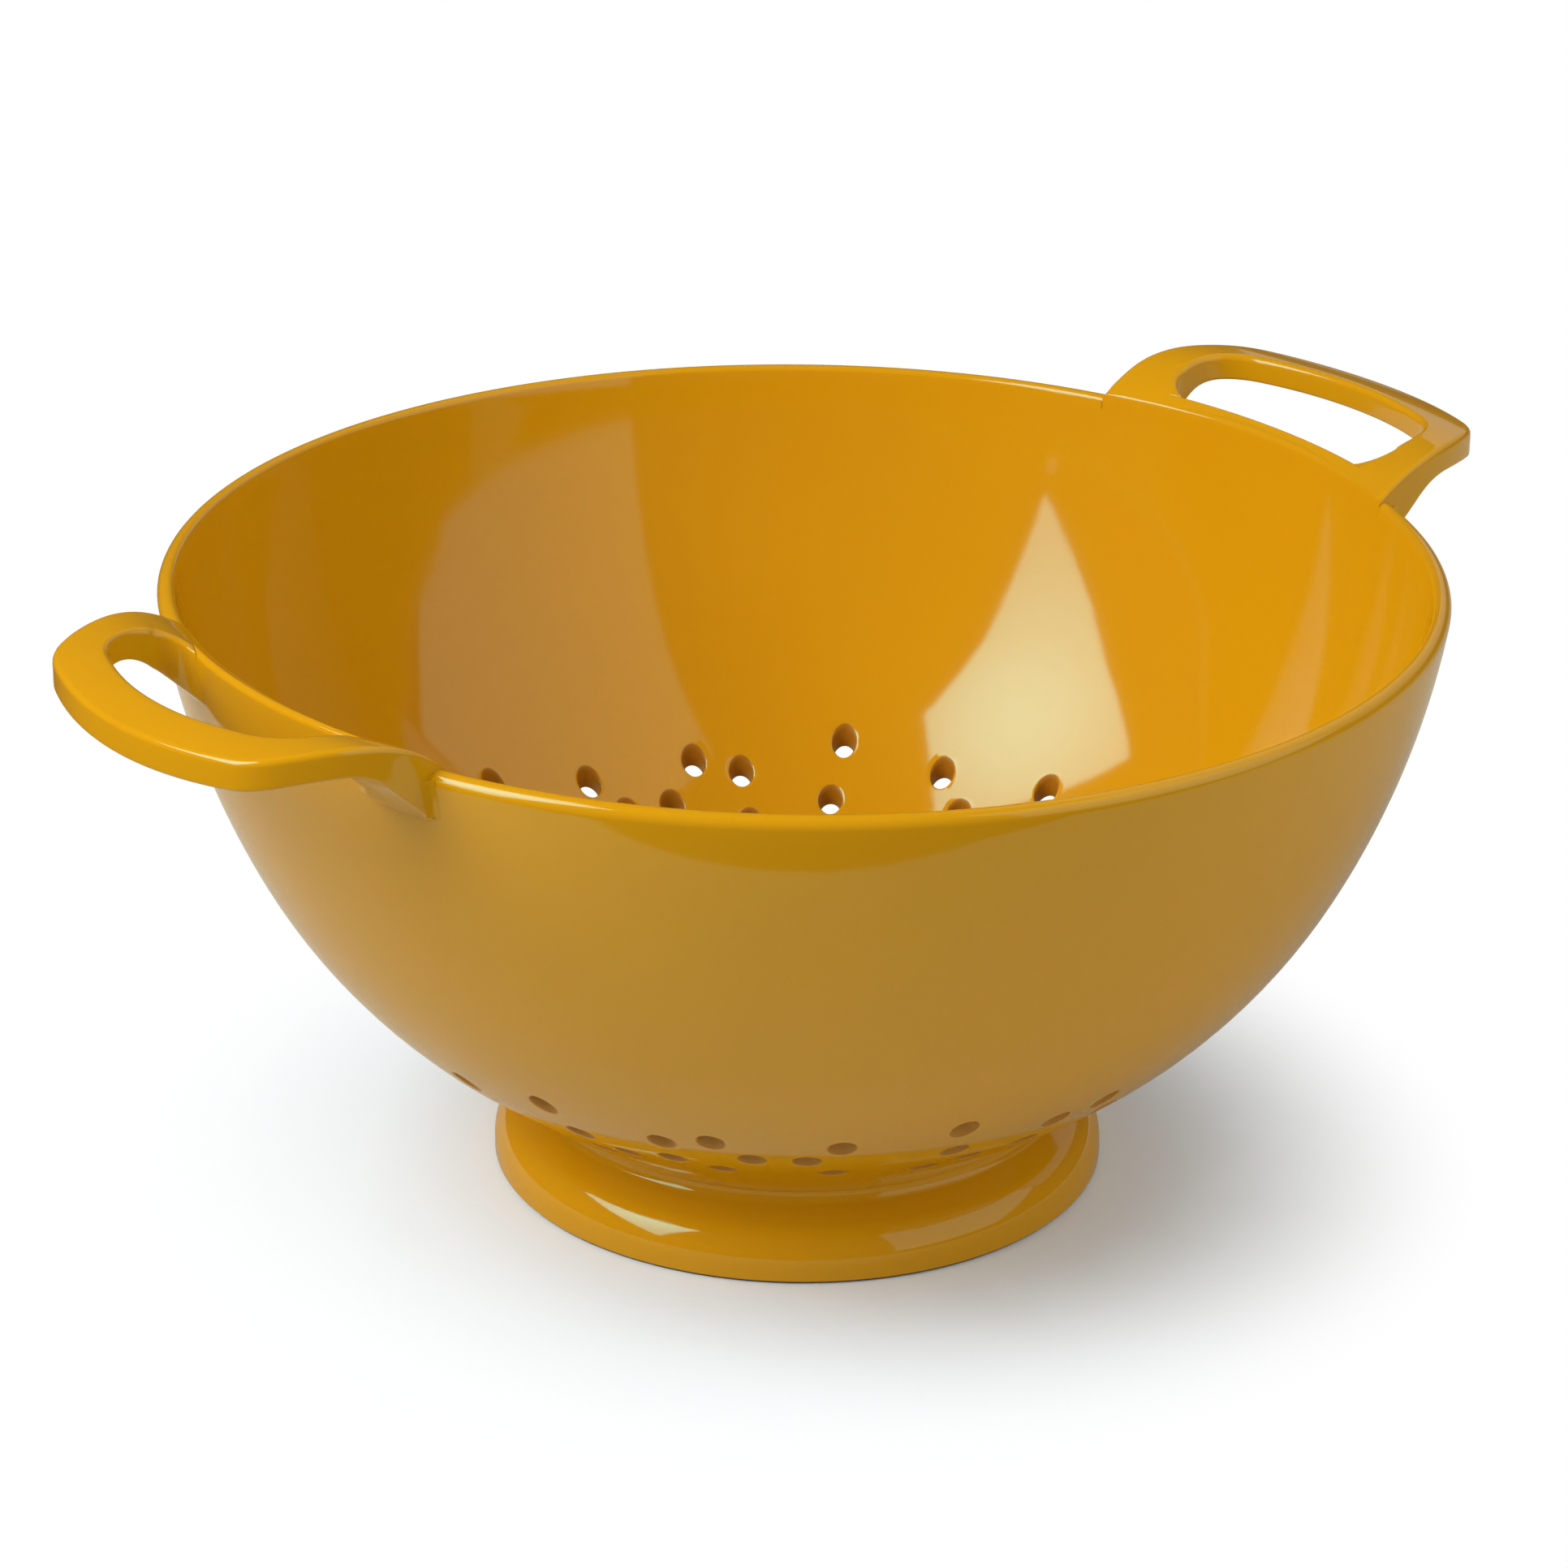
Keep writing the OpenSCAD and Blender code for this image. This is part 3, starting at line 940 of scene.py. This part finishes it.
def leans(loop, inner, outer, kind, way):
    """How squarely a section crosses the opening's edge and the outer edge."""
    if kind == "rim":
        in_lean, out_lean = -way.dot(inner.normalized()), -way.dot(outer.normalized())
    elif kind == "root":
        corner = Vector((loop.grip_root_c.x, math.copysign(loop.grip_root_c.y, inner.y)))
        in_lean, out_lean = way.dot((inner - corner).normalized()), abs(way.y)
    else:
        return 1, 1
    return max(in_lean, LEAST_LEAN), max(out_lean, 2 * LEAST_LEAN)


def section_of(loop, station):
    """Points round the loop's section between two plan points, as (x, y, z)."""
    inner, outer, kind = station
    sizes, wall = loop.sizes, loop.wall
    on_rim = kind == "rim"
    way = (outer - inner).normalized()
    width = (outer - inner).length
    in_edge = sizes.edge if kind == "loop" else sizes.ridge
    out_edge = wall.rim_inner if on_rim else sizes.edge
    low_edge = 0 if on_rim else sizes.low_edge
    in_lean, out_lean = leans(loop, inner, outer, kind, way)
    in_run, out_run = in_edge / in_lean, out_edge / out_lean
    spare = min(1, ROUNDED_SHARE * width / (in_run + out_run))
    in_run, out_run = in_run * spare, out_run * spare
    points = []

    def at(along, z):
        p = inner + way * along
        if on_rim and along > width / 2:
            p = p * (wall.radius(z, wall.thick) / wall.radius(wall.top, wall.thick))
        elif on_rim:
            p = p * (wall.radius(z, 0) / loop.ridge_r)
        elif kind == "root" and along < width / 2:
            p = p + Vector((wall.radius(z, 0) - loop.ridge_r, 0)) * (1 - 2 * along / width)
        points.append((p.x, p.y, z))

    def low(p):
        return loop.seat if on_rim else max(loop.under(p), loop.wall_meet)

    for along in spread(in_run, width - out_run, TOP_ROWS):
        at(along, loop.top(inner + way * along))
    high = loop.top(inner + way * (width - out_run)) - out_edge
    for turn in spread(0, QUARTER, EDGE_ROWS)[1:]:
        at(width - out_run + out_run * math.sin(turn), high + out_edge * math.cos(turn))
    floor = low(outer)
    for z in spread(high, floor + low_edge, FACE_ROWS)[1:-1]:
        at(width, z)
    for turn in spread(QUARTER, 0, LOW_EDGE_ROWS):
        at(width - low_edge + low_edge * math.sin(turn), floor + low_edge - low_edge * math.cos(turn))
    for along in spread(width - low_edge, low_edge, UNDER_ROWS)[1:-1]:
        at(along, low(inner + way * along))
    floor = low(inner)
    for turn in spread(0, QUARTER, LOW_EDGE_ROWS):
        at(low_edge - low_edge * math.sin(turn), floor + low_edge - low_edge * math.cos(turn))
    high = loop.top(inner + way * in_run) - in_edge
    for z in spread(floor + low_edge, high, FACE_ROWS)[1:-1]:
        at(0, z)
    for turn in spread(QUARTER, 0, EDGE_ROWS)[:-1]:
        at(in_run - in_run * math.sin(turn), high + in_edge * math.cos(turn))
    return points


def lay_sections(bm, sections, side):
    """Lays a grid over the sections in turn, and merges its opposite edges."""
    count, points = len(sections), len(sections[0])
    bmesh.ops.create_grid(bm, x_segments=count, y_segments=points, size=1)
    bm.verts.ensure_lookup_table()
    for v in bm.verts:
        i = round((v.co.x + 1) / 2 * count) % count
        j = round((v.co.y + 1) / 2 * points) % points
        x, y, z = sections[i][j]
        v.co = (x * side, y * side, z)
    bmesh.ops.remove_doubles(bm, verts=bm.verts, dist=SAME_POINT)


def add_fillet(bm, loop, side, flip):
    """The small hollow fillet where a handle's side face meets the bowl's wall."""
    sizes, wall = loop.sizes, loop.wall
    reach = sizes.fillet * FILLET_REACH_SHARE
    sunk = Vector((0, FILLET_SUNK))
    rows = []
    top = wall.top - wall.rim_outer * FILLET_TOP_SHARE
    for z in spread(loop.wall_meet + sizes.fillet, top, FILLET_ROWS):
        start = Vector((math.sqrt(wall.radius(z, 0) ** 2 - sizes.half_width**2), sizes.half_width))
        slope = bearing(AXIS, start)
        wall_end = around(start, reach, slope + QUARTER)
        side_end = start + Vector((reach, 0))
        root = around(start, -FILLET_SUNK, slope) - sunk
        points = []
        for share in spread(0, 1, FILLET_POINTS):
            straight = side_end.lerp(wall_end, share)
            hollow = FILLET_HOLLOW_SHARE * math.sin(math.pi * share)
            points.append(straight + (start - straight) * hollow)
        points += [wall_end + (root - start), root, side_end - sunk]
        rows.append([bm.verts.new((p.x * side, p.y * side * flip, z)) for p in points])
    for low, high in zip(rows, rows[1:]):
        for i in range(len(low)):
            k = (i + 1) % len(low)
            bm.faces.new((low[i], low[k], high[k], high[i]))
    bm.faces.new(rows[0])
    bm.faces.new(reversed(rows[-1]))


class COLANDER_OT_handles(bpy.types.Operator):
    """Builds the two looped handles that rise from the rim"""

    bl_idname = "colander.handles"
    bl_label = "Handles"

    def execute(self, context):
        wall = Wall(context.scene.colander_bowl)
        loop = Loop(context.scene.colander_handle, wall)
        half = loop.stations()
        mirror = [(Vector((a.x, -a.y)), Vector((b.x, -b.y)), kind) for a, b, kind in reversed(half[1:-1])]
        sections = [section_of(loop, station) for station in half + mirror]
        for name, side in (("handle_right", 1), ("handle_left", -1)):
            bm = bmesh.new()
            lay_sections(bm, sections, side)
            add_fillet(bm, loop, side, 1)
            add_fillet(bm, loop, side, -1)
            bmesh.ops.recalc_face_normals(bm, faces=bm.faces)
            piece = new_piece(name + "_loop", bm, "root", melamine_material(), name)
            even_shading(piece)
        return {"FINISHED"}


def foot_chain(sizes, wall):
    """The foot's closed section: neck, cove, sloping top, shoulder, toe, underside and inside."""
    neck = sizes.neck_width / 2
    neck_in = neck - sizes.neck_wall
    turn = QUARTER - sizes.slope
    shoulder_c = Vector((TOE_RADIUS - sizes.shoulder, sizes.ring_height + sizes.toe_height))
    shoulder_end = around(shoulder_c, sizes.shoulder, turn)
    run = (TOE_RADIUS - neck - (sizes.shoulder + sizes.cove) * (1 - math.cos(turn))) / math.sin(turn)
    cove_c = around(around(shoulder_end, run, turn + QUARTER), sizes.cove, turn)
    inner = TOE_RADIUS - sizes.base_width
    inner_end = around(shoulder_end, -sizes.neck_wall, turn)
    edge_z = sizes.ring_height + sizes.edge
    chain = [Vector((rho, wall.height(rho, NECK_SUNK))) for rho in (neck_in, neck)]
    chain += arc(cove_c, sizes.cove, math.pi, math.pi + turn, COVE_ROWS)
    chain += arc(shoulder_c, sizes.shoulder, turn, 0, SHOULDER_ROWS)
    chain += arc(Vector((TOE_RADIUS - sizes.edge, edge_z)), sizes.edge, 0, -QUARTER, TOE_EDGE_ROWS)
    chain += arc(Vector((inner + sizes.edge, edge_z)), sizes.edge, -QUARTER, -math.pi, INNER_EDGE_ROWS)
    for rho in (inner, neck_in):
        chain.append(Vector((rho, inner_end.y + (inner_end.x - rho) * math.tan(sizes.slope))))
    return chain + chain[:1]


def ring_chain(sizes):
    """The non-slip ring's closed section, with chamfered lower edges."""
    high = sizes.ring_height
    chamfer = high * CHAMFER_SHARE
    outer = TOE_RADIUS - sizes.ring_inset
    inner = outer - sizes.ring_width
    outside = [Vector((outer, high)), Vector((outer, chamfer)), Vector((outer - chamfer, 0))]
    inside = [Vector((inner + chamfer, 0)), Vector((inner, chamfer)), Vector((inner, high))]
    return outside + inside + outside[:1]


class COLANDER_OT_foot(bpy.types.Operator):
    """Builds the flared foot and the non-slip ring under it"""

    bl_idname = "colander.foot"
    bl_label = "Foot"

    def execute(self, context):
        sizes = context.scene.colander_foot
        bm = bmesh.new()
        spin_section(bm, foot_chain(sizes, Wall(context.scene.colander_bowl)), FOOT_STEPS)
        even_shading(new_piece("foot_ring", bm, "root", melamine_material(), "foot"))
        bm = bmesh.new()
        spin_section(bm, ring_chain(sizes), FOOT_STEPS)
        new_piece("ring_band", bm, "root", rubber_material(), "non_slip_ring")
        return {"FINISHED"}


def photo_camera():
    """The camera from which the object looks as in the photograph."""
    fwd = Vector(
        (
            math.sin(CAMERA_YAW) * math.cos(CAMERA_PITCH),
            math.cos(CAMERA_YAW) * math.cos(CAMERA_PITCH),
            -math.sin(CAMERA_PITCH),
        )
    )
    right = Vector((math.cos(CAMERA_YAW), -math.sin(CAMERA_YAW), 0))
    up = right.cross(fwd)
    side = right * math.cos(CAMERA_ROLL) + up * math.sin(CAMERA_ROLL)
    top = up * math.cos(CAMERA_ROLL) - right * math.sin(CAMERA_ROLL)
    place = Matrix((side, top, -fwd)).transposed().to_4x4()
    place.translation = (0, -CAMERA_BACK, CAMERA_UP)
    data = bpy.data.cameras.new("Photo camera")
    data.lens = LENS
    data.sensor_width = SENSOR
    data.clip_end = CAMERA_SIGHT
    camera = bpy.data.objects.new("Photo camera", data)
    camera.matrix_world = Matrix.Rotation(VIEW_TURN, 4, "Z") @ place
    bpy.context.scene.collection.objects.link(camera)
    bpy.context.scene.camera = camera


def toward(azimuth, elevation):
    """A lamp's place as seen from the bowl, with the camera looking along azimuth 0."""
    turn, rise = math.radians(azimuth), math.radians(elevation)
    way = Vector((math.sin(turn) * math.cos(rise), math.cos(turn) * math.cos(rise), math.sin(rise)))
    return Matrix.Rotation(VIEW_TURN, 4, "Z") @ (way * PANEL_DISTANCE + LIGHT_CENTRE)


def panel_material(name, middle, strength, hot):
    """A glow that is hot times as strong in the panel's middle."""
    material, tree = new_material(name)
    tree.nodes.clear()
    glow = tree.nodes.new("ShaderNodeEmission")
    result = tree.nodes.new("ShaderNodeOutputMaterial")
    place = tree.nodes.new("ShaderNodeTexCoord")
    away = tree.nodes.new("ShaderNodeVectorMath")
    away.operation = "DISTANCE"
    away.inputs[1].default_value = middle
    tree.links.new(place.outputs["Object"], away.inputs[0])
    fade = tree.nodes.new("ShaderNodeMapRange")
    fade.interpolation_type = "SMOOTHSTEP"
    fade.inputs["From Max"].default_value = PANEL_DISTANCE * HOT_SHARE
    fade.inputs["To Min"].default_value = strength * hot
    fade.inputs["To Max"].default_value = strength
    tree.links.new(away.outputs["Value"], fade.inputs["Value"])
    tree.links.new(fade.outputs["Result"], glow.inputs["Strength"])
    tree.links.new(glow.outputs["Emission"], result.inputs["Surface"])
    return material


def lit_panel(name, corners, strength, hot, mirrored):
    """A glowing panel with its corners in given directions, hidden from the camera."""
    bm = bmesh.new()
    face = bm.faces.new([bm.verts.new(toward(azimuth, elevation)) for azimuth, elevation in corners])
    middle = face.calc_center_median()
    bmesh.ops.subdivide_edges(bm, edges=bm.edges, cuts=PANEL_CUTS, use_grid_fill=True)
    panel = to_object(name, bm, panel_material(name, middle, strength, hot))
    panel.visible_camera = False
    panel.visible_glossy = mirrored
    panel.visible_shadow = False


def combine(tree, operation, first, second):
    """Joins two sockets, or a socket and a number, by one operation."""
    node = tree.nodes.new("ShaderNodeMath")
    node.operation = operation
    tree.links.new(first, node.inputs[0])
    if isinstance(second, float):
        node.inputs[1].default_value = second
    else:
        tree.links.new(second, node.inputs[1])
    return node.outputs["Value"]


def seen_white(tree, path, share):
    """1 to the camera, a share of it to reflections and clear materials, and 0 to the rest."""
    either = combine(tree, "MAXIMUM", path.outputs["Is Glossy Ray"], path.outputs["Is Transmission Ray"])
    return combine(tree, "MAXIMUM", path.outputs["Is Camera Ray"], combine(tree, "MULTIPLY", either, share))


def floor_material():
    """Pale floor that the camera sees lifted to white away from the object's shadow."""
    pale = list(bpy.context.scene.colander_finishes.floor)
    material, tree = new_material("Pale floor")
    tree.nodes.clear()
    result = tree.nodes.new("ShaderNodeOutputMaterial")
    seen = seen_white(tree, tree.nodes.new("ShaderNodeLightPath"), FLOOR_GLOSS_SHARE)
    tone = tree.nodes.new("ShaderNodeMix")
    tone.data_type = "RGBA"
    tone.inputs[MIX_A].default_value = pale
    tone.inputs[MIX_B].default_value = [part * lift for part, lift in zip(pale, FLOOR_LIFT_SHARES)] + [1]
    tree.links.new(seen, tone.inputs[MIX_FACTOR])
    surface = tree.nodes.new("ShaderNodeBsdfDiffuse")
    tree.links.new(tone.outputs[MIX_RESULT], surface.inputs["Color"])
    glow = tree.nodes.new("ShaderNodeEmission")
    place = tree.nodes.new("ShaderNodeTexCoord")
    away = tree.nodes.new("ShaderNodeVectorMath")
    away.operation = "LENGTH"
    tree.links.new(place.outputs["Object"], away.inputs[0])
    fade = tree.nodes.new("ShaderNodeMapRange")
    fade.interpolation_type = "SMOOTHSTEP"
    fade.inputs["From Min"].default_value = SHADOW_NEAR
    fade.inputs["From Max"].default_value = SHADOW_FAR
    tree.links.new(away.outputs["Value"], fade.inputs["Value"])
    mix = tree.nodes.new("ShaderNodeMixShader")
    tree.links.new(combine(tree, "MULTIPLY", fade.outputs["Result"], seen), mix.inputs[0])
    tree.links.new(surface.outputs["BSDF"], mix.inputs[1])
    tree.links.new(glow.outputs["Emission"], mix.inputs[2])
    tree.links.new(mix.outputs["Shader"], result.inputs["Surface"])
    return material


def studio_world():
    """White to the camera, a dim studio to everything else."""
    world = bpy.data.worlds.new("Studio")
    world.use_nodes = True
    tree = world.node_tree
    back = tree.nodes["Background"]
    path = tree.nodes.new("ShaderNodeLightPath")
    light = combine(tree, "MULTIPLY", path.outputs["Is Diffuse Ray"], WORLD_LEVEL)
    total = combine(tree, "ADD", seen_white(tree, path, WORLD_GLOSS_SHARE), light)
    tree.links.new(total, back.inputs["Strength"])
    back.inputs["Color"].default_value = (1, 1, 1, 1)
    return world


class COLANDER_OT_stage(bpy.types.Operator):
    """Builds the floor, the lamps and the camera"""

    bl_idname = "colander.stage"
    bl_label = "Stage"

    def execute(self, context):
        bm = bmesh.new()
        bmesh.ops.create_grid(bm, x_segments=1, y_segments=1, size=1)
        width, length = TABLE_RIGHT - TABLE_LEFT, TABLE_BACK - TABLE_FRONT
        bmesh.ops.scale(bm, vec=(width / 2, length / 2, 1), verts=bm.verts)
        middle = ((TABLE_LEFT + TABLE_RIGHT) / 2, (TABLE_FRONT + TABLE_BACK) / 2, 0)
        bmesh.ops.translate(bm, vec=middle, verts=bm.verts)
        bmesh.ops.rotate(bm, cent=(0, 0, 0), matrix=Matrix.Rotation(VIEW_TURN, 3, "Z"), verts=bm.verts)
        to_object("Floor", bm, floor_material())
        for panel in PANELS:
            lit_panel(*panel)
        context.scene.world = studio_world()
        context.scene.view_settings.view_transform = "Standard"
        photo_camera()
        return {"FINISHED"}


STEPS = (COLANDER_OT_bowl, COLANDER_OT_handles, COLANDER_OT_foot, COLANDER_OT_stage)
GROUPS = (
    ("colander_bowl", BowlSizes),
    ("colander_handle", HandleSizes),
    ("colander_foot", FootSizes),
    ("colander_finishes", Finishes),
)


class COLANDER_PT_panel(bpy.types.Panel):
    """Lists the steps that build the colander, and its sizes and colours"""

    bl_idname = "COLANDER_PT_panel"
    bl_label = "Colander"
    bl_space_type = "VIEW_3D"
    bl_region_type = "UI"
    bl_category = "Colander"

    def draw(self, context):
        for step in STEPS:
            self.layout.operator(step.bl_idname)
        for name, group in GROUPS:
            box = self.layout.box()
            for key in group.__annotations__:
                box.prop(getattr(context.scene, name), key)


def register():
    for name, group in GROUPS:
        bpy.utils.register_class(group)
        setattr(bpy.types.Scene, name, bpy.props.PointerProperty(type=group))
    for item in STEPS + (COLANDER_PT_panel,):
        bpy.utils.register_class(item)


def unregister():
    for item in (COLANDER_PT_panel,) + STEPS[::-1]:
        bpy.utils.unregister_class(item)
    for name, group in reversed(GROUPS):
        delattr(bpy.types.Scene, name)
        bpy.utils.unregister_class(group)


def main():
    register()
    bpy.ops.colander.bowl()
    bpy.ops.colander.handles()
    bpy.ops.colander.foot()
    bpy.ops.colander.stage()


if __name__ == "__main__":
    main()
